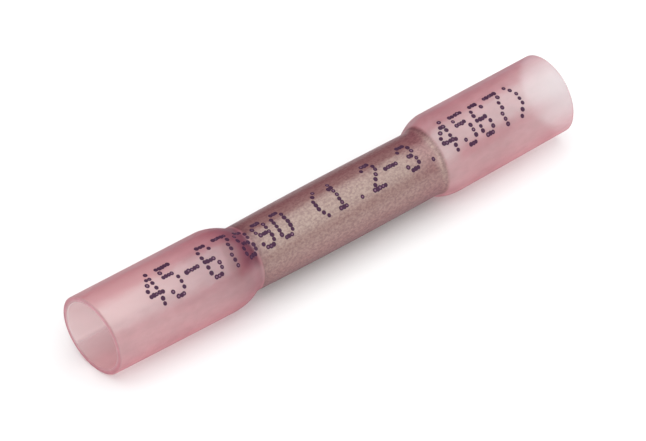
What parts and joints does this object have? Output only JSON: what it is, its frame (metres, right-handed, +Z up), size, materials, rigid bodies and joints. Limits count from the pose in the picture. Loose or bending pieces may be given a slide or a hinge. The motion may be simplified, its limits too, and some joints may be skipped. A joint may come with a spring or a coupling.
{
  "type": "heat shrink butt connector",
  "caption": "Clear pink heat shrink sleeve with an adhesive lining, gripped round a tinned crimp barrel, wide at both ends; it joins thin wires end to end.",
  "frame": {"origin": "on the connector's axis, half way between its two mouths", "axes": "+X along the axis, towards the mouth nearer the crimp barrel's free end; +Z up as it lies, with the punched wire stop on the underside"},
  "size_m": [0.037, 0.0054, 0.0054],
  "materials": {
    "sleeve": "clear pink polyolefin tubing, satin, lightly frosted",
    "lining": "clear hot-melt adhesive layer, smooth",
    "barrel": "electro-tinned copper, matt satin"
  },
  "bodies": {
    "root": {"heat_shrink_sleeve": "sleeve", "adhesive_lining": "lining", "crimp_barrel": "barrel"}
  },
  "joints": []
}
